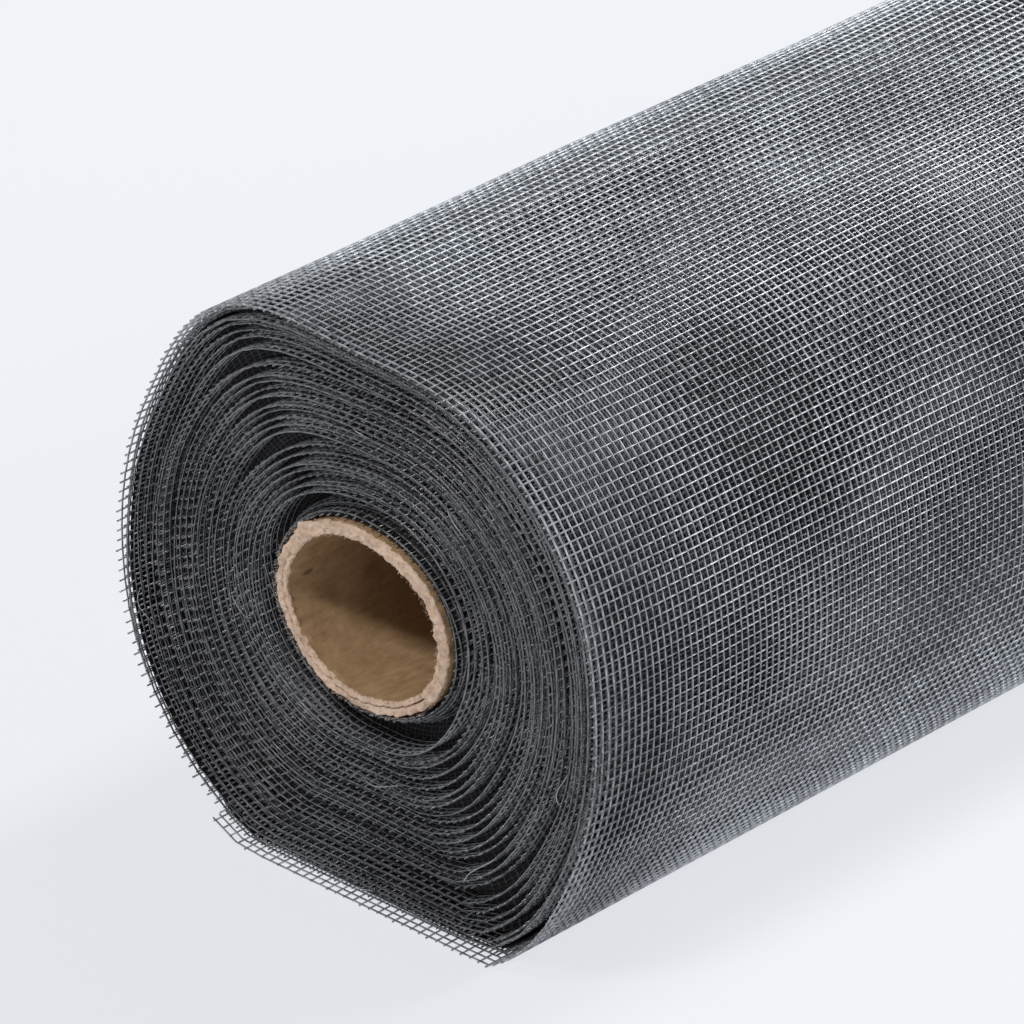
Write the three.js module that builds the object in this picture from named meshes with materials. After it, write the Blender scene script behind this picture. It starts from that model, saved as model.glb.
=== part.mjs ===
// A roll of insect screen: an open woven screen wound on a paper tube.
// It lies along X on its own sagged underside, with +Z up and the floor at Z = 0.
// The origin is under the middle of the roll. Sizes are in millimetres.
import * as THREE from 'three';

// The wound screen
const rollWidth = 104.3; // level, across the sagged roll
const rollHeight = 97.6; // floor to crest
const screenWidth = 600; // the screen itself, cut edge to cut edge

// The paper tube inside it
const tubeLength = screenWidth; // cut to suit the screen
const tubeOutside = 34.8; // mean diameter
const tubeOutOfRound = 2.7; // wider than the mean by this, and lower by as much
const tubeWall = 2.5;
const tubeClearance = 0.3; // all round, to the first turn
const tubeDrift = 0; // the tube's middle, from the middle of the roll, along Y
const tubeRise = 0.5; // and above mid height

// How far the outermost turn bulges past a plain ellipse, at even steps round the roll.
// The first is at +Y and the fourth at the crest. The floor presses flat what would hang below it.
const bulges = [0.995, 0.995, 1.085, 0.99, 1.05, 1.04, 1, 1.05, 1.15, 1.05, 1.11, 1.07];

// Groups of turns, from the tube outwards. build is a group's thickness in the fully wound
// screen, and shift is how far its turns slipped along X from the middle of the tube.
// The outermost turn has slipped most, so it overhangs the near end.
const turnGroups = [
  { build: 1.3, shift: -0.3 },
  { build: 1.3, shift: -0.8 },
  { build: 3.4, slack: true },
  { build: 2.4, shift: -0.6 },
  { build: 2.6, shift: 0 },
  { build: 1.1, slack: true },
  { build: 3.6, shift: -0.5 },
  { build: 3.2, shift: 0 },
  { build: 3, shift: -0.6 },
  { build: 3.1, shift: -0.1 },
  { build: 2.7, shift: -0.5 },
  { build: 1.1, slack: true },
  { build: 3.4, shift: -0.7 },
  { build: 3.2, shift: -1.5 },
  { build: 1.7, shift: -3.2 },
];
const slackDepth = 9; // how deep a slack space between two groups is open at each end

const stepsRound = 60;
const fullTurn = 2 * Math.PI;

const mix = THREE.MathUtils.lerp;

const tubeHalf = { y: (tubeOutside + tubeOutOfRound) / 2, z: (tubeOutside - tubeOutOfRound) / 2 };
const boreHalf = { y: tubeHalf.y + tubeClearance, z: tubeHalf.z + tubeClearance };
const rollHalf = { y: rollWidth / 2, z: rollHeight / 2 };
const slips = turnGroups.filter((group) => !group.slack).map((group) => group.shift);
const tubeMiddle = {
  x: -(Math.min(...slips, 0) + Math.max(...slips, 0)) / 2,
  y: tubeDrift,
  z: rollHalf.z + tubeRise,
};

// The bulge at an angle, by a smooth curve through the stated ones.
function bulgeAt(angle) {
  const count = bulges.length;
  const place = (angle / fullTurn) * count;
  const before = Math.floor(place);
  const at = (step) => bulges[(before + step + count) % count];
  const along = place - before;
  const slopeIn = (at(1) - at(-1)) / 2;
  const slopeOut = (at(2) - at(0)) / 2;
  const rise = at(1) - at(0);
  const bend = 3 * rise - 2 * slopeIn - slopeOut;
  const twist = slopeIn + slopeOut - 2 * rise;
  return at(0) + along * (slopeIn + along * (bend + along * twist));
}

// Where a point of the winding lies in the section. turn is 0 at the bore and 1 outermost.
function settle(turn, angle) {
  const bulge = mix(1, bulgeAt(angle), turn);
  const reach = { y: mix(boreHalf.y, rollHalf.y, turn), z: mix(boreHalf.z, rollHalf.z, turn) };
  const middle = { y: mix(tubeMiddle.y, 0, turn), z: mix(tubeMiddle.z, rollHalf.z, turn) };
  const drop = Math.max(reach.z * bulge * Math.sin(angle), -reach.z);
  return { y: middle.y + reach.y * bulge * Math.cos(angle), z: middle.z + drop };
}

// Turns a closed profile round the roll. Each profile point is { x, at }, where at(angle)
// gives its place in the section.
function turnRound(profile) {
  const corners = [];
  const faces = [];
  for (let step = 0; step < stepsRound; step += 1) {
    const angle = (step / stepsRound) * fullTurn;
    for (const point of profile) {
      const place = point.at(angle);
      corners.push(point.x, place.y, place.z);
    }
  }
  for (let step = 0; step < stepsRound; step += 1) {
    const here = step * profile.length;
    const next = ((step + 1) % stepsRound) * profile.length;
    for (let point = 0; point < profile.length; point += 1) {
      const after = (point + 1) % profile.length;
      faces.push(here + point, next + point, next + after);
      faces.push(here + point, next + after, here + after);
    }
  }
  const geometry = new THREE.BufferGeometry();
  geometry.setAttribute('position', new THREE.Float32BufferAttribute(corners, 3));
  geometry.setIndex(faces);
  geometry.computeVertexNormals();
  return geometry;
}

// The wound screen's profile: along the bore, over the turns at one end, along the outermost
// turn and back over the other end. Every group is as long as the screen is wide.
function screenProfile() {
  const wound = turnGroups.reduce((sum, group) => sum + group.build, 0);
  const nearEnd = [];
  const farEnd = [];
  let inner = 0;
  let around = tubeMiddle.x;
  for (const group of turnGroups) {
    const outer = inner + group.build / wound;
    around = group.slack ? around : tubeMiddle.x + group.shift;
    const inset = group.slack ? slackDepth : 0;
    for (const turn of [inner, Math.min(outer, 1)]) {
      const at = (angle) => settle(turn, angle);
      nearEnd.push({ x: around - screenWidth / 2 + inset, at });
      farEnd.unshift({ x: around + screenWidth / 2 - inset, at });
    }
    inner = outer;
  }
  return [...nearEnd, ...farEnd];
}

// The tube's profile: a plain wall between two square cut ends.
function tubeProfile() {
  const ring = (inset) => (angle) => ({
    y: tubeMiddle.y + (tubeHalf.y - inset) * Math.cos(angle),
    z: tubeMiddle.z + (tubeHalf.z - inset) * Math.sin(angle),
  });
  const near = tubeMiddle.x - tubeLength / 2;
  const far = tubeMiddle.x + tubeLength / 2;
  return [
    { x: near, at: ring(tubeWall) },
    { x: near, at: ring(0) },
    { x: far, at: ring(0) },
    { x: far, at: ring(tubeWall) },
  ];
}

const kraftPaper = new THREE.MeshStandardMaterial({ color: 0xb59a7c, roughness: 0.9, metalness: 0 });
const coatedYarn = new THREE.MeshStandardMaterial({ color: 0x4b4d51, roughness: 0.5, metalness: 0 });

const coreTube = new THREE.Mesh(turnRound(tubeProfile()), kraftPaper);
coreTube.name = 'core_tube';

const screenRoll = new THREE.Mesh(turnRound(screenProfile()), coatedYarn);
screenRoll.name = 'screen_roll';

const roll = new THREE.Group();
roll.add(coreTube, screenRoll);

export default roll;
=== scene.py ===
import math

import bpy
import numpy as np
from mathutils import Matrix, Vector, noise


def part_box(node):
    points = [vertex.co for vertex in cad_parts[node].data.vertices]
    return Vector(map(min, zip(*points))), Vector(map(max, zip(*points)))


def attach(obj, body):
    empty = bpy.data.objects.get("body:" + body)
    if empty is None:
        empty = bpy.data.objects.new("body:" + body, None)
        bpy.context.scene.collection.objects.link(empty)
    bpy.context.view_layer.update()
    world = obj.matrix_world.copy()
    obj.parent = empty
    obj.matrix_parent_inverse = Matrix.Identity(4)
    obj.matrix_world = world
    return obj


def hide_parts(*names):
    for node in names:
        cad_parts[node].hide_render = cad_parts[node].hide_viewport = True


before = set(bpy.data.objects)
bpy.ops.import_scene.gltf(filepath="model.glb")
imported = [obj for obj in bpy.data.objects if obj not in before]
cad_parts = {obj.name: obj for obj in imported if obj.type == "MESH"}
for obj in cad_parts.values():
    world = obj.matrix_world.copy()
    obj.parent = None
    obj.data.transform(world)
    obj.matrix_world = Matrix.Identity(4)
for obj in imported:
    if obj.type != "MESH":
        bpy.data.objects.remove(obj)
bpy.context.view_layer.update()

mm = 0.001
fullTurn = 2 * math.pi


# The roll's section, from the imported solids

rollLow, rollHigh = [Vector(corner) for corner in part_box("screen_roll")]
tubeLow, tubeHigh = [Vector(corner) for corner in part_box("core_tube")]

section = {
    "tubeClearance": 0.35 * mm,  # from the paper tube to the middle of the first turn's yarn
    "skin": 0.2 * mm,  # from the outermost yarn's middle to the roll's outline
    # how far it bulges past an ellipse, at even steps from +Y over the crest
    "bulges": [0.995, 0.995, 1.085, 0.99, 1.05, 1.04, 1, 1.05, 1.15, 1.05, 1.11, 1.07],
}

tubeMiddle = (tubeLow + tubeHigh) / 2
tubeHalf = (tubeHigh - tubeLow) / 2
rollMiddle = (rollLow + rollHigh) / 2
rollHalf = (rollHigh - rollLow) / 2


def bulgeAt(angle):
    bulges = np.array(section["bulges"])
    place = np.mod(angle, fullTurn) / fullTurn * len(bulges)
    before = np.floor(place).astype(int)
    along = place - before
    last, here, after, later = [bulges[(before + step) % len(bulges)] for step in (-1, 0, 1, 2)]
    slopeIn = (after - last) / 2
    slopeOut = (later - here) / 2
    rise = after - here
    bend = 3 * rise - 2 * slopeIn - slopeOut
    twist = slopeIn + slopeOut - 2 * rise
    return here + along * (slopeIn + along * (bend + along * twist))


def settle(turn, angle):
    # turn is 0 on the tube and 1 outermost; gives y and z
    bulge = 1 + (bulgeAt(angle) - 1) * turn
    inside = tubeHalf + Vector((0, section["tubeClearance"], section["tubeClearance"]))
    outside = rollHalf - Vector((0, section["skin"], section["skin"]))
    reachY = inside.y + (outside.y - inside.y) * turn
    reachZ = inside.z + (outside.z - inside.z) * turn
    middleY = tubeMiddle.y + (rollMiddle.y - tubeMiddle.y) * turn
    middleZ = tubeMiddle.z + (rollMiddle.z - tubeMiddle.z) * turn
    rise = np.maximum(reachZ * bulge * np.sin(angle), -reachZ)
    return middleY + reachY * bulge * np.cos(angle), middleZ + rise


# The winding: one strip of screen from the tube outwards

winding = {
    "width": 600 * mm,  # the strip, cut edge to cut edge
    "roundPitch": 25.4 / 18 * mm,  # between yarns that run round the roll
    "lengthPitch": 25.4 / 14 * mm,  # between yarns that run along it
    "yarnWide": 0.28 * mm,
    "yarnHigh": 0.27 * mm,
    "crest": 0.55,  # how much of a yarn is outside its middle
    "turns": 29.2,
    "endAngle": math.radians(302),  # where the strip's outer end lies, low at the back
    # how far out the strip is after so many turns
    "places": [(0, 0), (5.2, 0.062), (5.45, 0.13), (9.3, 0.28), (9.6, 0.31), (21.5, 0.745),
               (21.8, 0.775), (26.2, 0.925), (27.2, 0.955), (28.2, 0.985), (29.2, 1)],
    # and how far it has slipped along the roll, in mm
    "slips": [(0, -0.1), (1.2, 0.4), (2.2, 1.8), (5.2, 4.2), (5.5, -0.9), (6.5, -0.6), (9.2, 0.2),
              (9.8, -0.6), (13, 0.3), (16.5, -0.4), (19, 0), (21.5, -0.9), (22.2, -0.5), (25, -1.7),
              (26.9, -2.1), (27.36, -2.4), (27.61, -1), (27.86, 1.1), (28.11, -0.9), (28.36, -3.2),
              (29.2, -3.2)],
    # and how much further it has slipped on the +Y side, in mm
    "lean": [(15, 0), (19, 0.5), (22, 0)],
    "ragged": 0.4 * mm,  # how unevenly the turns' edges stand
    "wander": 0.3 * mm,  # how far yarns stray from their line
    "looseness": 0.114,  # how unevenly the turns lie, as a share of their spacing
    "trim": 0.3 * mm,  # how unevenly the yarns were cut
    "lift": 0.18 * mm,  # how far the outer turns rise and fall along the roll
}

halfWidth = winding["width"] / 2
cutEdge = halfWidth - winding["trim"]
roundCount = int(winding["width"] / winding["roundPitch"])

# Places where the turns have parted: after which turn, at what angle and how far to each side of it,
# and how far the turns inside and outside the hollow have moved from it
hollows = [
    {"after": 5.3, "angle": 128, "reach": 75, "inward": 0.0, "outward": 0.07},
    {"after": 11.96, "angle": 50, "reach": 52, "inward": 0.045, "outward": 0.012},
    {"after": 13.4, "angle": 212, "reach": 40, "inward": 0.03, "outward": 0.0},
    {"after": 18.58, "angle": 274, "reach": 44, "inward": 0.022, "outward": 0.0},
    {"after": 22.01, "angle": 70, "reach": 50, "inward": 0.05, "outward": 0.0},
]


def knots(pairs, turns):
    turns = np.clip(turns, pairs[0][0], pairs[-1][0])
    return np.interp(turns, [pair[0] for pair in pairs], [pair[1] for pair in pairs])


def stripAngle(turns):
    return winding["endAngle"] - (winding["turns"] - turns) * fullTurn


def parting(turns, places):
    # how far the strip has moved out of its even place, because of the hollows
    moved = np.zeros(np.shape(turns))
    for hollow in hollows:
        turned = np.mod(stripAngle(turns) - math.radians(hollow["angle"]) + math.pi, fullTurn) - math.pi
        share = np.clip(np.abs(turned) / math.radians(hollow["reach"]), 0, 1)
        window = 0.5 + 0.5 * np.cos(share * math.pi)
        edge = knots(winding["places"], hollow["after"])
        inside = turns < hollow["after"]
        inward = hollow["inward"] * np.clip(places / edge, 0, 1) ** 1.6
        outward = hollow["outward"] * np.clip((1 - places) / (1 - edge), 0, 1) ** 6
        moved = moved + window * np.where(inside, -inward, outward)
    return moved


def stripTurn(turns):
    # how far out the strip is, with turns that lie a little unevenly
    places = knots(winding["places"], turns)
    spacing = knots(winding["places"], turns + 0.5) - knots(winding["places"], turns - 0.5)
    angle = turns * fullTurn
    wobble = 0.75 * np.sin(angle * 1.31 + 1.0) + 0.5 * np.sin(angle * 2.17 + 0.4)
    wobble = wobble + 1.1 * np.sin(angle * 0.475)
    fade = np.clip((winding["turns"] - 1.3 - turns) * 2, 0, 1) * np.clip(turns - 5.2, 0, 1)
    return places + winding["looseness"] * spacing * wobble * fade + parting(turns, places)


def stripPoint(turns):
    # place and outward direction in the section
    angle = stripAngle(turns)
    step = 0.002
    y, z = settle(stripTurn(turns), angle)
    yNext, zNext = settle(stripTurn(turns + step), angle + step * fullTurn)
    yLast, zLast = settle(stripTurn(turns - step), angle - step * fullTurn)
    run, rise = yNext - yLast, zNext - zLast
    size = np.hypot(run, rise)
    return y, z, rise / size, -run / size


def stripSlip(turns):
    angle = turns * fullTurn
    ripple = np.sin(angle * 0.77 + 2) + 0.8 * np.sin(angle * 1.63) + 0.6 * np.sin(angle * 3.29 + 1)
    ragged = winding["ragged"] * ripple * np.clip(turns - 1, 0.15, 1) * np.clip(28 - turns, 0.25, 1)
    lean = knots(winding["lean"], turns) * np.clip(np.cos(stripAngle(turns) - 0.2), 0, 1)
    return tubeMiddle.x + (knots(winding["slips"], turns) + lean) * mm + ragged


def strayAlong(turns, x):
    # how far a yarn round the roll strays along it
    angle = turns * fullTurn
    waves = np.sin(x / (51 * mm) + angle * 0.29) + 0.8 * np.sin(x / (17 * mm) - angle * 0.43 + 1.1)
    waves = waves + 0.6 * np.sin(angle * 1.37 + x / (140 * mm)) + 0.35 * np.sin(angle * 5.3 + x / (26 * mm))
    return winding["wander"] * waves


def strayRound(turns, x):
    # how far a yarn along the roll strays round it, in turns
    angle = turns * fullTurn
    waves = np.sin(x / (47 * mm) + angle * 0.31 + 0.6) + 0.7 * np.sin(x / (19 * mm) + angle * 0.23)
    return winding["wander"] * waves / (300 * mm)


def liftAt(angle, across, place):
    # the slow rise and fall of the turns along the roll, none of it on the tube or where the floor bears
    waves = np.sin(across / (17 * mm) + 1.3 * np.sin(angle + 0.5))
    waves = waves + np.sin(across / (31 * mm) + angle * 2 + 2)
    bearing = np.clip(np.sin(angle) + 0.8, 0, 1)
    return winding["lift"] * waves * bearing * place ** 4


def yarnMesh(yarns, thickness=1.0):
    # yarns is a list of (middles, outwards, crossings), each with a row of points for every yarn.
    # Every yarn is a closed rod with three sides, shaded as if it were round.
    corners, maps, quads, caps, start = [], [], [], [], 0
    for middles, outwards, crossings in yarns:
        count, steps = middles.shape[:2]
        runs = np.gradient(middles, axis=1)
        runs /= np.linalg.norm(runs, axis=2, keepdims=True)
        sides = np.cross(outwards, runs)
        sides /= np.linalg.norm(sides, axis=2, keepdims=True)
        crest = outwards * winding["yarnHigh"] * thickness * winding["crest"]
        foot = outwards * winding["yarnHigh"] * thickness * (1 - winding["crest"])
        flank = sides * winding["yarnWide"] * thickness * winding["crest"]
        ring = [middles + crest, middles - foot + flank, middles - foot - flank]
        corners.append(np.stack(ring, axis=2).reshape(-1, 3))
        around = np.broadcast_to(np.arange(3) / 3, (count, steps, 3))
        along = np.broadcast_to(crossings[..., None], (count, steps, 3))
        maps.append(np.stack([along, around], axis=-1).reshape(-1, 2))
        index = start + np.arange(count * steps * 3).reshape(count, steps, 3)
        turned = np.roll(index, -1, axis=2)
        faces = [index[:, :-1], index[:, 1:], turned[:, 1:], turned[:, :-1]]
        quads.append(np.stack(faces, axis=-1).reshape(-1, 4))
        caps.append(index[:, 0, :].reshape(-1, 3))
        caps.append(index[:, -1, ::-1].reshape(-1, 3))
        start += count * steps * 3
    return np.concatenate(corners), np.concatenate(maps), np.concatenate(quads), np.concatenate(caps)


def meshObject(name, corners, quads, caps, maps, material):
    mesh = bpy.data.meshes.new(name)
    loops = np.concatenate([quads.reshape(-1), caps.reshape(-1)])
    starts = np.concatenate([np.arange(len(quads)) * 4, len(quads) * 4 + np.arange(len(caps)) * 3])
    mesh.vertices.add(len(corners))
    mesh.vertices.foreach_set("co", corners.astype(np.float32).reshape(-1))
    mesh.loops.add(len(loops))
    mesh.loops.foreach_set("vertex_index", loops.astype(np.int32))
    mesh.polygons.add(len(quads) + len(caps))
    mesh.polygons.foreach_set("loop_start", starts.astype(np.int32))
    mesh.polygons.foreach_set("use_smooth", np.ones(len(quads) + len(caps), dtype=bool))
    layer = mesh.uv_layers.new(name="yarnMap")
    layer.data.foreach_set("uv", maps[loops].astype(np.float32).reshape(-1))
    mesh.update(calc_edges=True)
    mesh.validate()
    piece = bpy.data.objects.new(name, mesh)
    bpy.context.scene.collection.objects.link(piece)
    mesh.materials.append(material)
    return piece


noCaps = np.zeros((0, 3), dtype=int)


def closedQuads(index, first, second):
    # the faces of a grid of corner numbers that closes on itself both ways
    after = np.roll(index, -1, axis=first)
    faces = [index, after, np.roll(after, -1, axis=second), np.roll(index, -1, axis=second)]
    return np.stack(faces, axis=-1).reshape(-1, 4)


def paintFaces(piece, slots):
    piece.data.polygons.foreach_set("material_index", np.asarray(slots, dtype=np.int32))


def raised(turns, across, x):
    # middles and outward directions of yarns, with the lift
    y, z, outY, outZ = stripPoint(turns)
    lift = liftAt(stripAngle(turns), across, knots(winding["places"], turns))
    outwards = np.stack(np.broadcast_arrays(np.zeros(x.shape), outY, outZ), axis=-1)
    middles = np.stack(np.broadcast_arrays(x, y, z), axis=-1)
    return middles + outwards * np.broadcast_to(lift, x.shape)[..., None], outwards


def roundYarns(turns, rows):
    # yarns round the roll: turns is a row of places along the strip, rows the yarns' numbers
    across = ((rows - (roundCount - 1) / 2) * winding["roundPitch"])[:, None]
    x = stripSlip(turns)[None, :] + across + strayAlong(turns[None, :], across)
    middles, outwards = raised(turns[None, :], across, x)
    crossings = stripLength(turns)[None, :] / winding["lengthPitch"] + rows[:, None]
    return middles, outwards, crossings


def lengthYarns(first, last, near, far, steps):
    # yarns along the roll, between two places along the strip and two places across it
    lowest = math.ceil(stripLength(np.array([first]))[0] / winding["lengthPitch"])
    highest = math.floor(stripLength(np.array([last]))[0] / winding["lengthPitch"])
    numbers = np.arange(lowest, highest + 1)
    turns = np.interp(numbers * winding["lengthPitch"], lengthTable, turnTable)
    across = np.clip(np.linspace(near, far, steps), -cutEdge, cutEdge)[None, :] * np.ones((len(numbers), 1))
    uneven = winding["trim"] * np.sin(numbers * 2.4) * np.sin(numbers * 0.71 + 1)
    across[:, 0] += uneven
    across[:, -1] += uneven[::-1]
    grid = turns[:, None] + strayRound(turns[:, None], across)
    middles, outwards = raised(grid, across, stripSlip(grid) + across)
    crossings = across / winding["roundPitch"] + numbers[:, None] + 1
    return middles, outwards, crossings


turnTable = np.linspace(0, winding["turns"], int(winding["turns"] * 360))
tableY, tableZ = stripPoint(turnTable)[:2]
lengthTable = np.concatenate([[0], np.cumsum(np.hypot(np.diff(tableY), np.diff(tableZ)))])


def stripLength(turns):
    return np.interp(turns, turnTable, lengthTable)


print(f"the strip of screen is {lengthTable[-1]:.2f} m long")


# Shader node groups

def newGroup(name, inputs, outputs):
    tree = bpy.data.node_groups.new(name, "ShaderNodeTree")
    for label, kind, value in inputs:
        socket = tree.interface.new_socket(label, in_out="INPUT", socket_type=kind)
        if value is not None:
            socket.default_value = value
    for label, kind in outputs:
        tree.interface.new_socket(label, in_out="OUTPUT", socket_type=kind)
    return tree, tree.nodes.new("NodeGroupInput"), tree.nodes.new("NodeGroupOutput")


def addNode(tree, kind, inputs=None, **settings):
    node = tree.nodes.new(kind)
    for name, value in settings.items():
        setattr(node, name, value)
    for name, value in (inputs or {}).items():
        socket = node.inputs[name]
        if isinstance(value, bpy.types.NodeSocket):
            tree.links.new(value, socket)
        else:
            socket.default_value = value
    return node


def maths(tree, operation, *values):
    node = addNode(tree, "ShaderNodeMath", operation=operation)
    for index, value in enumerate(values):
        if isinstance(value, bpy.types.NodeSocket):
            tree.links.new(value, node.inputs[index])
        else:
            node.inputs[index].default_value = value
    return node.outputs[0]


def noiseAt(tree, place, scale, detail=3.0, roughness=0.55):
    node = addNode(tree, "ShaderNodeTexNoise", {"Vector": place, "Scale": scale, "Detail": detail,
                                                "Roughness": roughness})
    return node.outputs["Fac"]


def spread(tree, value, low, high, toLow=0.0, toHigh=1.0):
    node = addNode(tree, "ShaderNodeMapRange", {"Value": value, "From Min": low, "From Max": high,
                                                "To Min": toLow, "To Max": toHigh})
    return node.outputs[0]


def blendColours(tree, share, low, high):
    node = addNode(tree, "ShaderNodeMix", data_type="RGBA")
    for socket, value in ((node.inputs[0], share), (node.inputs[6], low), (node.inputs[7], high)):
        if isinstance(value, bpy.types.NodeSocket):
            tree.links.new(value, socket)
        else:
            socket.default_value = value
    return node.outputs[2]


def makeYarnGroup():
    # the weave's crimp, the grain of the coating, slow changes of tone and a painted highlight on each
    # crest of the crimp
    tree, inlet, outlet = newGroup(
        "coatedYarnFinish",
        [("Position", "NodeSocketVector", None), ("Yarn Place", "NodeSocketVector", None),
         ("Crimp", "NodeSocketFloat", 0.1), ("Grain", "NodeSocketFloat", 0.02)],
        [("Tone", "NodeSocketFloat"), ("Roughness", "NodeSocketFloat"), ("Height", "NodeSocketFloat")])
    place = addNode(tree, "ShaderNodeSeparateXYZ", {0: inlet.outputs["Yarn Place"]})
    wave = maths(tree, "COSINE", maths(tree, "MULTIPLY", place.outputs[0], math.pi))
    position = inlet.outputs["Position"]
    patch = noiseAt(tree, position, 26.0, 2.0)
    strand = noiseAt(tree, position, 420.0, 2.0)
    grain = noiseAt(tree, position, 2600.0, 2.0)
    patches = spread(tree, patch, 0.3, 0.7, 0.22, 0.68)
    strands = spread(tree, strand, 0.3, 0.7, -0.2, 0.2)
    # the tone rises and falls with the crimp: a painted highlight where a yarn passes over
    tone = maths(tree, "ADD", maths(tree, "ADD", patches, strands), maths(tree, "MULTIPLY", wave, 0.2))
    tree.links.new(maths(tree, "MAXIMUM", tone, 0.0), outlet.inputs["Tone"])
    rubbed = spread(tree, grain, 0.3, 0.7, 0.2, 0.38)
    dull = maths(tree, "ADD", rubbed, maths(tree, "MULTIPLY", strand, 0.12))
    tree.links.new(dull, outlet.inputs["Roughness"])
    crimp = maths(tree, "MULTIPLY", wave, inlet.outputs["Crimp"])
    height = maths(tree, "ADD", crimp, maths(tree, "MULTIPLY", grain, inlet.outputs["Grain"]))
    tree.links.new(height, outlet.inputs["Height"])
    return tree


def makeKraftGroup():
    # recycled kraft paper: cloudy mottling, short fibres and dark specks
    tree, inlet, outlet = newGroup(
        "kraftPaper",
        [("Position", "NodeSocketVector", None), ("Fibre Scale", "NodeSocketFloat", 900.0)],
        [("Mottle", "NodeSocketFloat"), ("Fibre", "NodeSocketFloat"), ("Speck", "NodeSocketFloat")])
    position = inlet.outputs["Position"]
    bent = addNode(tree, "ShaderNodeMapping", {"Vector": position, "Scale": (0.35, 1.0, 1.0)})
    cloud = noiseAt(tree, position, 150.0, 5.0, 0.62)
    fibre = noiseAt(tree, bent.outputs[0], inlet.outputs["Fibre Scale"], 4.0, 0.7)
    speck = addNode(tree, "ShaderNodeTexVoronoi", {"Vector": bent.outputs[0], "Scale": 330.0})
    specks = spread(tree, speck.outputs["Distance"], 0.08, 0.2, 1.0, 0.0)
    thin = spread(tree, noiseAt(tree, position, 90.0, 1.0), 0.5, 0.6)
    tree.links.new(cloud, outlet.inputs["Mottle"])
    tree.links.new(fibre, outlet.inputs["Fibre"])
    tree.links.new(maths(tree, "MULTIPLY", specks, thin), outlet.inputs["Speck"])
    return tree


yarnGroup = makeYarnGroup()
kraftGroup = makeKraftGroup()


def newMaterial(name):
    material = bpy.data.materials.new(name)
    material.use_nodes = True
    tree = material.node_tree
    return material, tree, tree.nodes["Principled BSDF"]


def placeGroup(tree, group, **values):
    node = addNode(tree, "ShaderNodeGroup")
    node.node_tree = group
    for name, value in values.items():
        socket = node.inputs[name.replace("_", " ")]
        if isinstance(value, bpy.types.NodeSocket):
            tree.links.new(value, socket)
        else:
            socket.default_value = value
    return node


def bumpFrom(tree, height, strength, distance, shader):
    bump = addNode(tree, "ShaderNodeBump", {"Height": height, "Strength": strength, "Distance": distance})
    tree.links.new(bump.outputs[0], shader.inputs["Normal"])


# the yarn's own tones, lightened as painted light for the outermost turn and the stray yarns
litYarnFinish = {
    "dark": (0.085, 0.089, 0.099, 1),
    "light": (0.58, 0.605, 0.65, 1),
    "crimp": 0.11 * mm,
    "grain": 0.02 * mm,
}
# the turns under the outermost, and their cut ends: the same yarn darkened as painted shade
paintedShadeYarnFinish = {**litYarnFinish, "dark": (0.034, 0.035, 0.039, 1), "light": (0.235, 0.242, 0.258, 1)}


def makeYarnMaterial(name, finish):
    material, tree, shader = newMaterial(name)
    where = addNode(tree, "ShaderNodeTexCoord")
    group = placeGroup(tree, yarnGroup, Position=where.outputs["Object"], Yarn_Place=where.outputs["UV"],
                       Crimp=finish["crimp"], Grain=finish["grain"])
    tone = blendColours(tree, group.outputs["Tone"], finish["dark"], finish["light"])
    tree.links.new(tone, shader.inputs["Base Color"])
    tree.links.new(group.outputs["Roughness"], shader.inputs["Roughness"])
    bumpFrom(tree, group.outputs["Height"], 1.0, 1.0, shader)
    shader.inputs["Specular IOR Level"].default_value = 0.8
    shader.inputs["Coat Weight"].default_value = 0.6
    shader.inputs["Coat Roughness"].default_value = 0.18
    return material


# painted shade: the hidden turns' gaps and yarns, darker at their ends, and a plain dark for deep between
# turns
hiddenWeaveAndShade = {
    "gap": (0.016, 0.0165, 0.018, 1),
    "yarn": (0.15, 0.155, 0.165, 1),
    "endGap": (0.005, 0.005, 0.0055, 1),
    "endYarn": (0.075, 0.077, 0.082, 1),
    "deep": (0.012, 0.012, 0.013, 1),
    "yarnShare": 0.24,  # of a pitch
}


def makeHiddenShadeMaterial(name, gap, yarn):
    # turns that show only through the holes of others, or deep between two of them: their weave in dark
    # colours, as painted shade
    material, tree, shader = newMaterial(name)
    where = addNode(tree, "ShaderNodeTexCoord")
    place = addNode(tree, "ShaderNodeSeparateXYZ", {0: where.outputs["UV"]})
    group = placeGroup(tree, yarnGroup, Position=where.outputs["Object"], Yarn_Place=where.outputs["UV"],
                       Crimp=0.0, Grain=litYarnFinish["grain"])
    masks = []
    for axis in (0, 1):
        saw = maths(tree, "PINGPONG", place.outputs[axis], 0.5)
        half = hiddenWeaveAndShade["yarnShare"] / 2
        masks.append(spread(tree, saw, half, half * 0.7))
    mask = maths(tree, "MAXIMUM", *masks)
    lit = maths(tree, "MULTIPLY", mask, maths(tree, "ADD", group.outputs["Tone"], 0.3))
    tree.links.new(blendColours(tree, lit, gap, yarn), shader.inputs["Base Color"])
    shader.inputs["Roughness"].default_value = 0.6
    shader.inputs["Specular IOR Level"].default_value = 0.2
    bumpFrom(tree, mask, 0.8, 0.2 * mm, shader)
    return material


def makeShadeMaterial(name, colour):
    # painted shade: a plain dark colour for what shows deep between two turns or two plies
    material, tree, shader = newMaterial(name)
    shader.inputs["Base Color"].default_value = colour
    shader.inputs["Roughness"].default_value = 0.9
    shader.inputs["Specular IOR Level"].default_value = 0.1
    return material


kraftFinish = {
    "wallDark": (0.25, 0.145, 0.065, 1),
    "wallLight": (0.52, 0.35, 0.2, 1),
    "rimDark": (0.42, 0.28, 0.19, 1),
    "rimLight": (0.86, 0.66, 0.51, 1),
    "speck": (0.10, 0.06, 0.035, 1),
    # painted shade in the split between the plies
    "crack": (0.07, 0.042, 0.025, 1),
    "wallSpecks": 0.75,
    "rimSpecks": 0.35,
    "wallFibre": 0.12 * mm,  # how far fibres stand up
    "rimFibre": 0.3 * mm,
}


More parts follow.
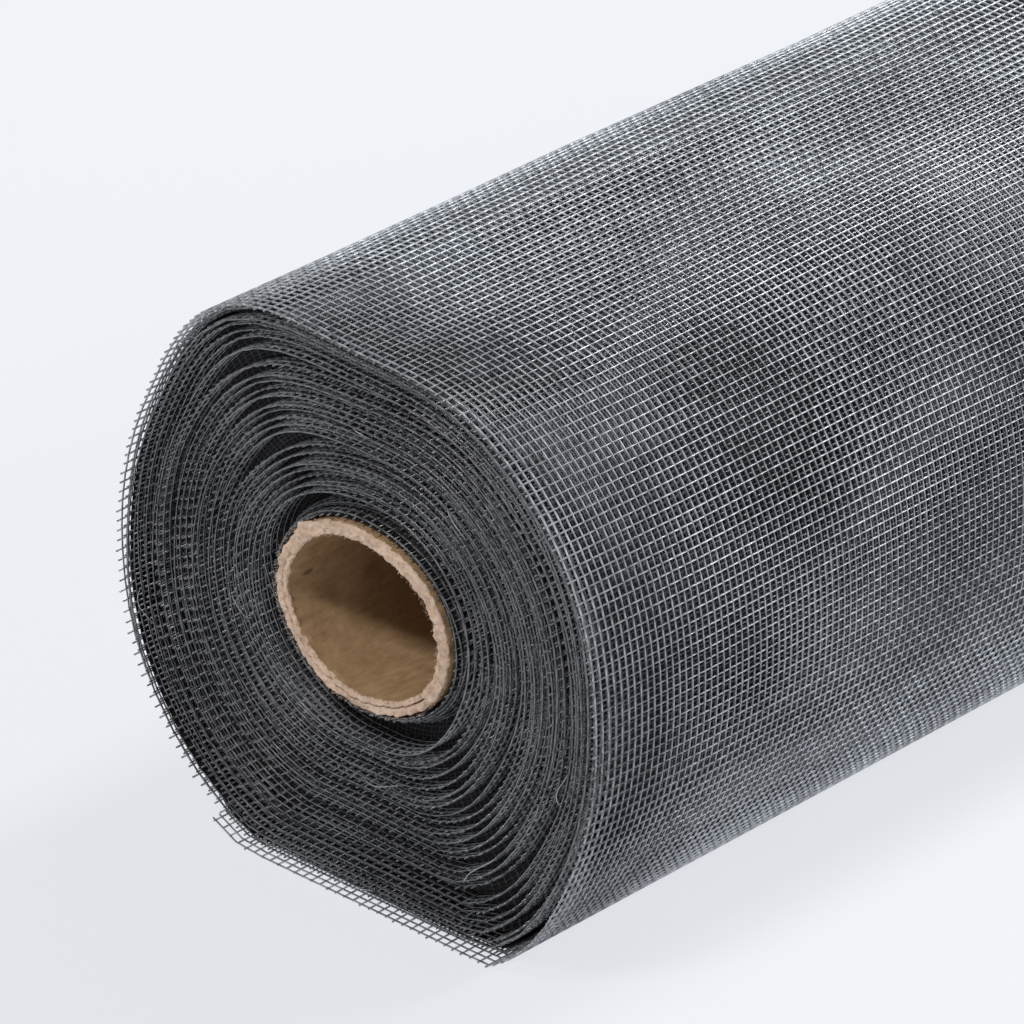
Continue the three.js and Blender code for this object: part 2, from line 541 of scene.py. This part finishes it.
def makeKraftMaterial(name, part):
    # part is wall or rim
    material, tree, shader = newMaterial(name)
    where = addNode(tree, "ShaderNodeTexCoord")
    group = placeGroup(tree, kraftGroup, Position=where.outputs["Object"])
    share = maths(tree, "ADD", maths(tree, "MULTIPLY", group.outputs["Mottle"], 0.6),
                  maths(tree, "MULTIPLY", group.outputs["Fibre"], 0.5))
    dark, light = kraftFinish[part + "Dark"], kraftFinish[part + "Light"]
    colour = blendColours(tree, spread(tree, share, 0.35, 0.75), dark, light)
    specked = maths(tree, "MULTIPLY", group.outputs["Speck"], kraftFinish[part + "Specks"])
    colour = blendColours(tree, specked, colour, kraftFinish["speck"])
    tree.links.new(colour, shader.inputs["Base Color"])
    tree.links.new(spread(tree, group.outputs["Fibre"], 0.2, 0.8, 0.95, 0.75), shader.inputs["Roughness"])
    swell = maths(tree, "MULTIPLY", group.outputs["Mottle"], 0.5)
    height = maths(tree, "ADD", group.outputs["Fibre"], swell)
    bumpFrom(tree, height, 0.9, kraftFinish[part + "Fibre"], shader)
    shader.inputs["Specular IOR Level"].default_value = 0.2
    return material


litYarnMaterial = makeYarnMaterial("coatedYarn", litYarnFinish)
paintedShadeYarnMaterial = makeYarnMaterial("paintedShadeYarn", paintedShadeYarnFinish)
crackShadeMaterial = makeShadeMaterial("crackedPlyShade", kraftFinish["crack"])
hiddenShadeMaterial = makeHiddenShadeMaterial("hiddenTurnsShade", hiddenWeaveAndShade["gap"], hiddenWeaveAndShade["yarn"])
hiddenEndShadeMaterial = makeHiddenShadeMaterial("hiddenEndsShade", hiddenWeaveAndShade["endGap"], hiddenWeaveAndShade["endYarn"])
deepShadeMaterial = makeShadeMaterial("deepTurnsShade", hiddenWeaveAndShade["deep"])
kraftWall = makeKraftMaterial("kraftWall", "wall")
kraftRim = makeKraftMaterial("kraftRim", "rim")
print("materials are made")


def dress(piece, node):
    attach(piece, "root")
    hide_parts(node)


# The outer three turns, whole

outerTurns = {"stepsRound": [64, 46, 46], "stepsAlong": [22, 14, 14]}


def makeOuterTurn(name, number):
    last = winding["turns"] - number
    turns = np.linspace(last - 1, last, outerTurns["stepsRound"][number] + 1)
    around = roundYarns(turns, np.arange(roundCount))
    along = lengthYarns(last - 1, last, -halfWidth, halfWidth, outerTurns["stepsAlong"][number] + 1)
    corners, maps, quads, caps = yarnMesh([around, along])
    # the outermost turn is painted lighter and the turns under it darker: painted light and painted shade
    piece = meshObject(name, corners, quads, caps, maps, paintedShadeYarnMaterial if number else litYarnMaterial)
    dress(piece, "screen_roll")
    print(f"{name}: {len(quads) * 2 + len(caps)} triangles")


for number, name in enumerate(["outer_turn", "second_turn", "third_turn"]):
    makeOuterTurn(name, number)


# The ends of the turns inside them

endTurns = {"rows": 6, "stepsRound": 64, "depth": 9.5 * mm, "pointsAlong": 3}


def makeEndTurns(name, side):
    innermost = winding["turns"] - 3
    rows = np.arange(endTurns["rows"])
    if side > 0:
        rows = roundCount - 1 - rows
    around = roundYarns(np.linspace(0, innermost, int(innermost * endTurns["stepsRound"])), rows)
    edge = halfWidth * side
    along = lengthYarns(0, innermost, edge, edge - side * endTurns["depth"], endTurns["pointsAlong"])
    corners, maps, quads, caps = yarnMesh([around, along])
    # the turns' cut ends take the yarn darkened as painted shade
    piece = meshObject(name, corners, quads, caps, maps, paintedShadeYarnMaterial)
    dress(piece, "screen_roll")
    print(f"{name}: {len(quads) * 2 + len(caps)} triangles")


makeEndTurns("near_end_turns", -1)
makeEndTurns("far_end_turns", 1)


# The turns between them, as one body behind the ends and under the outer three, its painted weave dark as
# painted shade

hidden = {
    "outside": 0.918,
    "inset": 2.6 * mm,  # behind the tube's ends, at the outside
    # and further in: place, and how far behind
    "funnel": [(0.916, 2.65 * mm), (0.86, 3.6 * mm), (0.4, 4.4 * mm), (0.13, 6.5 * mm), (0.07, 8 * mm),
               (0.03, 4.5 * mm), (0.005, 1 * mm)],
    "endRings": 58,  # painted on its ends
    "crossings": 165,  # painted round it
    "steps": 96,
    "rings": 61,
}


def makeHiddenTurns():
    count, between = hidden["steps"], hidden["rings"]
    angles = np.arange(count) / count * fullTurn
    reach = halfWidth - hidden["inset"]
    runs = np.linspace(-reach, reach, between)
    funnel = [(turn, halfWidth - inset) for turn, inset in hidden["funnel"]]
    nearFunnel = [(turn, -run) for turn, run in reversed(funnel)]
    rings = [(hidden["outside"], run) for run in runs] + funnel + nearFunnel
    corners = []
    for turn, across in rings:
        y, z = settle(turn, angles)
        rise = liftAt(angles, across, turn)
        x = np.full(angles.shape, tubeMiddle.x + across)
        corners.append(np.stack([x, y + rise * np.cos(angles), z + rise * np.sin(angles)], axis=-1))
    quads = closedQuads(np.arange(len(rings) * count).reshape(len(rings), count), 1, 0)
    crossings = angles / fullTurn * hidden["crossings"]
    rows = [run / winding["roundPitch"] for run in runs]
    rows += [turn * hidden["endRings"] for turn, run in rings[between:]]
    maps = np.concatenate([np.stack([crossings, np.full(count, row)], axis=-1) for row in rows])
    piece = meshObject("hidden_turns", np.concatenate(corners), quads, noCaps, maps, hiddenShadeMaterial)
    # its sides take the painted shade of the hidden turns, its ends the darker painted shade
    piece.data.materials.append(hiddenEndShadeMaterial)
    paintFaces(piece, np.repeat(np.arange(len(rings)) >= between - 1, count))
    dress(piece, "screen_roll")


makeHiddenTurns()


# A dark lining just inside the second turn, at the near end: a sheet of painted shade

lining = {
    "behind": 1.5 * mm,  # the second turn's near edge
    "depth": 12 * mm,
    "thickness": 0.005,  # as a share of the winding
    "steps": 180,
}


def makeLining():
    # so that light comes through the outer turns' first rows only
    count = lining["steps"]
    angles = np.arange(count) / count * fullTurn
    turns = winding["turns"] - 1 - np.mod(winding["endAngle"] - angles, fullTurn) / fullTurn
    middle = (knots(winding["places"], turns) + knots(winding["places"], turns - 1)) / 2
    near = knots(winding["slips"], turns) * mm - halfWidth + lining["behind"]
    rings = [(1, 0), (1, lining["depth"]), (-1, lining["depth"]), (-1, 0)]
    corners, maps = [], []
    for outward, run in rings:
        y, z = settle(middle + outward * lining["thickness"] / 2, angles)
        corners.append(np.stack([tubeMiddle.x + near + run, y, z], axis=-1))
        crossings = angles / fullTurn * hidden["crossings"]
        maps.append(np.stack([crossings, (near + run) / winding["roundPitch"]], axis=-1))
    quads = closedQuads(np.arange(len(rings) * count).reshape(len(rings), count), 1, 0)
    corners, maps = np.concatenate(corners), np.concatenate(maps)
    piece = meshObject("turn_lining", corners, quads, noCaps, maps, hiddenShadeMaterial)
    piece.data.materials.append(deepShadeMaterial)
    # its outside takes the hidden turns' painted shade, its other faces the plain painted shade
    paintFaces(piece, np.repeat([0, 1, 1, 1], count))
    dress(piece, "screen_roll")


makeLining()


# The paper tube

tube = {
    "wall": 2.5 * mm,
    "steps": 288,
    "fray": 0.46 * mm,  # how far the cut rim's fibres stand up
    "torn": 0.36 * mm,  # how ragged the rim's edges are
    "dent": 0.35 * mm,  # how far the tube is out of true
    "crackDepth": 1.7 * mm,
    "crackFrom": math.radians(-142),  # the ply parts along the rim between these
    "crackTo": math.radians(28),
    "crackShare": 0.42,  # of the wall, from the bore
    "crackWidth": 0.09,  # of the wall
    "farCrack": 0.8,  # how far it runs to each side of +Y at the far end, in radians
    "peak": 0.9 * mm,  # the corner that the cut left raised
    "peakAngle": math.radians(48),
    "peakReach": 0.09,  # in radians
    "worn": 0.35 * mm,  # how far the rim's corners are worn down
    "ripple": 0.05 * mm,
}


def rough(place, scale, seed):
    return noise.noise(Vector(place) * scale + Vector((seed, seed * 2, seed * 3)))


def makePaperTube():
    near, far = tubeLow.x, tubeHigh.x
    shares = [0, 0.06, 0.16, 0.28, 0.365, 0.38, 0.42, 0.46, 0.475, 0.58, 0.7, 0.82, 0.94, 1]
    stops = [0, 0.6 * mm, 1.6 * mm, 4 * mm, 12 * mm, 60 * mm, 150 * mm]
    profile = []
    for share in shares:
        profile.append((near, share))
    for stop in stops[1:]:
        profile.append((near + stop, 1))
    for stop in reversed(stops[1:]):
        profile.append((far - stop, 1))
    for share in reversed(shares):
        profile.append((far, share))
    for stop in stops[1:]:
        profile.append((far - stop, 0))
    for stop in reversed(stops[1:]):
        profile.append((near + stop, 0))
    corners, maps, cracked = [], [], []
    for step in range(tube["steps"]):
        angle = step / tube["steps"] * fullTurn
        turned = (angle + math.pi) % fullTurn - math.pi
        cracked.append(tube["crackFrom"] < turned < tube["crackTo"])
        across, up = math.cos(angle), math.sin(angle)
        dent = tube["dent"] * (0.5 * math.cos(3 * angle - 2.2) + 0.5 * math.cos(5 * angle + 0.4) - 1)
        for x, share in profile:
            inward = tube["wall"] * (1 - share) - dent * 0.6
            y = tubeMiddle.y + (tubeHalf.y - inward) * across
            z = tubeMiddle.z + (tubeHalf.z - inward) * up
            side = -1 if x < tubeMiddle.x else 1
            place = (x / mm, y / mm, z / mm)
            if x in (near, far):
                fray = rough(place, 0.9, 1) + 0.7 * rough(place, 2.7, 2) + 0.5 * rough(place, 6, 3)
                worn = tube["worn"] * max(0.0, 1 - min(share, 1 - share) * 12)
                inCrack = cracked[-1] if side < 0 else abs(turned) < tube["farCrack"]
                crack = 0.0
                if inCrack and abs(share - tube["crackShare"]) < tube["crackWidth"] / 2:
                    crack = tube["crackDepth"] * (0.7 + 0.8 * rough(place, 0.35, 5))
                peak = 0.0
                if side < 0:
                    fromPeak = (turned - tube["peakAngle"]) / tube["peakReach"]
                    peak = tube["peak"] * math.exp(-fromPeak ** 2) * share
                x = x + side * (tube["fray"] * fray - worn - crack + peak)
                torn = rough(place, 0.5, 7) + 0.5 * rough(place, 1.3, 8) + 0.3 * rough(place, 5, 9)
                facing = -1 if share < 0.3 else 1
                splay = tube["torn"] * torn * (abs(share - 0.45) * 1.6) * facing + peak * 0.7
                y += splay * across
                z += splay * up
            else:
                ripple = tube["ripple"] * rough(place, 0.4, 9)
                y += ripple * across
                z += ripple * up
            corners.append((x, y, z))
            maps.append((angle, share))
    count = len(profile)
    quads = closedQuads(np.arange(tube["steps"] * count).reshape(tube["steps"], count), 0, 1)
    piece = meshObject("paper_tube", np.array(corners), quads, noCaps, np.array(maps), kraftWall)
    piece.data.materials.append(kraftRim)
    piece.data.materials.append(crackShadeMaterial)
    rimRows = np.zeros(count, dtype=int)
    rimRows[:len(shares) - 1] = 1
    farStart = len(shares) + 2 * (len(stops) - 1)
    rimRows[farStart:farStart + len(shares) - 1] = 1
    slots = np.tile(rimRows, (tube["steps"], 1))
    first = shares.index(tube["crackShare"]) - 1
    # the split's faces take the painted shade
    slots[np.array(cracked), first:first + 2] = 2
    paintFaces(piece, slots.reshape(-1))
    dress(piece, "core_tube")


makePaperTube()


# Loose ends: paper fibres on the cut rim, and yarns that have come out of the edge

looseEnds = {
    "fibres": 1500,
    "fibreLength": 0.75 * mm,
    "fibreThickness": 0.16,  # of a yarn's
    "fibreTurn": 2.39996,  # from one fibre to the next, in radians
    "fibreShares": (0.02, 0.98, 0.6, 0.3),  # of the wall, from the bore
    # turn, length in mm, and which way it leans
    "strays": [(10.07, 7, 0.9), (19.0, 8, -0.7), (15.6, 5, 0.5), (24.3, 6, 0.8), (8.3, 4, -0.9),
               (26.1, 7, 0.4), (21.9, 5, -0.6), (12.7, 6, 0.7)],
    "strayThickness": 0.55,  # of a yarn's
    "strayPoints": 9,
}


def makeRimFibres():
    yarns = []
    for number in range(looseEnds["fibres"]):
        side = -1 if number % 5 else 1
        angle = number * looseEnds["fibreTurn"]
        share = looseEnds["fibreShares"][number % len(looseEnds["fibreShares"])]
        across, up = math.cos(angle), math.sin(angle)
        inward = tube["wall"] * (1 - share)
        edge = tubeLow.x if side < 0 else tubeHigh.x
        foot = Vector((edge - side * 0.25 * mm, tubeMiddle.y + (tubeHalf.y - inward) * across,
                       tubeMiddle.z + (tubeHalf.z - inward) * up))
        seed = foot / mm
        lean = Vector((side * (0.7 + rough(seed, 3, 1)), 0, 0))
        outward = Vector((0, across, up)) * (1.2 * (share - 0.4) + 0.9 * rough(seed, 2.3, 2))
        sideways = Vector((0, -up, across)) * 1.4 * rough(seed, 1.9, 4)
        length = looseEnds["fibreLength"] * (0.6 + rough(seed, 4, 6))
        run = (lean + outward + sideways).normalized() * length
        bend = (outward - sideways) * 0.2 * mm
        middles = np.array([foot, foot + run * 0.55 + bend * 0.4, foot + run - bend * 0.3])
        facing = np.array(run.cross(Vector((0.3, 0.5, 0.8))).normalized())
        yarns.append((middles[None], np.tile(facing, (1, 3, 1)), np.zeros((1, 3))))
    corners, maps, quads, caps = yarnMesh(yarns, looseEnds["fibreThickness"])
    piece = meshObject("rim_fibres", corners, quads, caps, maps, kraftRim)
    dress(piece, "core_tube")


def makeStrayYarns():
    yarns, points = [], looseEnds["strayPoints"]
    for turn, length, lean in looseEnds["strays"]:
        turns = np.array([turn])
        y, z, outY, outZ = [float(value[0]) for value in stripPoint(turns)]
        steps = np.linspace(0, 1, points)
        forward = -1.6 * mm * np.sin(steps * 2.2)
        edge = float(stripSlip(turns)[0]) - halfWidth + 0.6 * mm
        along = length * mm * steps
        bow = 1.1 * mm * lean * np.sin(steps * 3.4) * steps
        sideways, upwards = outY * bow - outZ * along, outZ * bow + outY * along
        middles = np.stack([edge + forward, y + sideways, z + upwards], axis=-1)
        outwards = np.tile(np.array([0, outY, outZ]), (1, points, 1))
        yarns.append((middles[None], outwards, np.zeros((1, points))))
    corners, maps, quads, caps = yarnMesh(yarns, looseEnds["strayThickness"])
    # the stray yarns take the yarn lightened as painted light
    piece = meshObject("stray_yarns", corners, quads, caps, maps, litYarnMaterial)
    dress(piece, "screen_roll")


makeRimFibres()
makeStrayYarns()
print("the pieces are made")


# Floor, lights and camera

stage = {
    "floor": (0.12, 0.12, 0.122, 1),
    "floorSize": 6,
    "sky": (0.93, 0.95, 1.0, 1),
    "skyStrength": 0.32,
    "floorGlow": 0.74,  # keeps the shadows on it faint
}

softboxes = [
    {"name": "back_softbox", "place": (1.0, -0.1, 1.25), "target": (-0.1, 0, 0.03), "size": 0.45,
     "power": 28, "colour": (0.93, 0.965, 1.0)},
    {"name": "right_softbox", "place": (1.2, -1.0, 0.8), "target": (-0.15, 0, 0.05), "size": 0.45,
     "power": 28, "colour": (0.93, 0.965, 1.0)},
    {"name": "front_softbox", "place": (-1.1, 0.0, 1.3), "target": (-0.3, 0, 0.05), "size": 0.22,
     "power": 10, "colour": (1.0, 0.98, 0.95)},
]


def makeFloor():
    mesh = bpy.data.meshes.new("studio_floor")
    half = stage["floorSize"] / 2
    corners = [(-half, -half, 0), (half, -half, 0), (half, half, 0), (-half, half, 0)]
    mesh.from_pydata(corners, [], [(0, 1, 2, 3)])
    floor = bpy.data.objects.new("studio_floor", mesh)
    bpy.context.scene.collection.objects.link(floor)
    material, tree, shader = newMaterial("paleFloor")
    where = addNode(tree, "ShaderNodeTexCoord")
    cloud = spread(tree, noiseAt(tree, where.outputs["Object"], 3.0, 2.0), 0.3, 0.7)
    low = tuple(value * 0.985 for value in stage["floor"][:3]) + (1,)
    tree.links.new(blendColours(tree, cloud, low, stage["floor"]), shader.inputs["Base Color"])
    shader.inputs["Roughness"].default_value = 0.7
    shader.inputs["Specular IOR Level"].default_value = 0.2
    shader.inputs["Emission Color"].default_value = stage["sky"]
    shader.inputs["Emission Strength"].default_value = stage["floorGlow"]
    mesh.materials.append(material)


def makeLight(softbox):
    data = bpy.data.lights.new(softbox["name"], "AREA")
    data.shape = "SQUARE"
    data.size = softbox["size"]
    data.energy = softbox["power"]
    data.color = softbox["colour"]
    light = bpy.data.objects.new(softbox["name"], data)
    light.location = softbox["place"]
    aim = Vector(softbox["target"]) - Vector(softbox["place"])
    light.rotation_euler = aim.to_track_quat("-Z", "Y").to_euler()
    bpy.context.scene.collection.objects.link(light)


def makeWorld():
    world = bpy.data.worlds.new("studio")
    world.use_nodes = True
    background = world.node_tree.nodes["Background"]
    background.inputs["Color"].default_value = stage["sky"]
    background.inputs["Strength"].default_value = stage["skyStrength"]
    bpy.context.scene.world = world


# The camera stands as it did for the photo: one point of the roll's near end is seen at a known pixel
view = {
    "azimuth": math.radians(-46.38),
    "elevation": math.radians(28.06),
    "distance": 1383.5 * mm,  # along the view, to the known point
    "focal": 8979.8,  # in pixels
    "pixels": 1024,
    "pixel": (354.6, 637.4),
    "point": (rollLow.x, -1.75 * mm, 48.06 * mm),
    "sensor": 36.0,
}


def makeCamera():
    azimuth, elevation = view["azimuth"], view["elevation"]
    back = Vector((math.sin(azimuth) * math.cos(elevation), -math.cos(azimuth) * math.cos(elevation),
                   math.sin(elevation)))
    right = (-back).cross(Vector((0, 0, 1))).normalized()
    up = right.cross(-back)
    perPixel = view["distance"] / view["focal"]
    offX = (view["pixel"][0] - view["pixels"] / 2) * perPixel
    offY = (view["pixel"][1] - view["pixels"] / 2) * perPixel
    place = Vector(view["point"]) + back * view["distance"] - right * offX + up * offY
    data = bpy.data.cameras.new("photo_camera")
    data.sensor_width = view["sensor"]
    data.lens = view["sensor"] * view["focal"] / view["pixels"]
    data.clip_start = 0.05
    data.clip_end = 20
    camera = bpy.data.objects.new("photo_camera", data)
    turned = Matrix((right, up, back)).transposed().to_4x4()
    camera.matrix_world = Matrix.Translation(place) @ turned
    bpy.context.scene.collection.objects.link(camera)
    bpy.context.scene.camera = camera


makeFloor()
makeWorld()
for softbox in softboxes:
    makeLight(softbox)
makeCamera()
bpy.context.scene.view_settings.view_transform = "Standard"
print("floor, lights and camera are set")
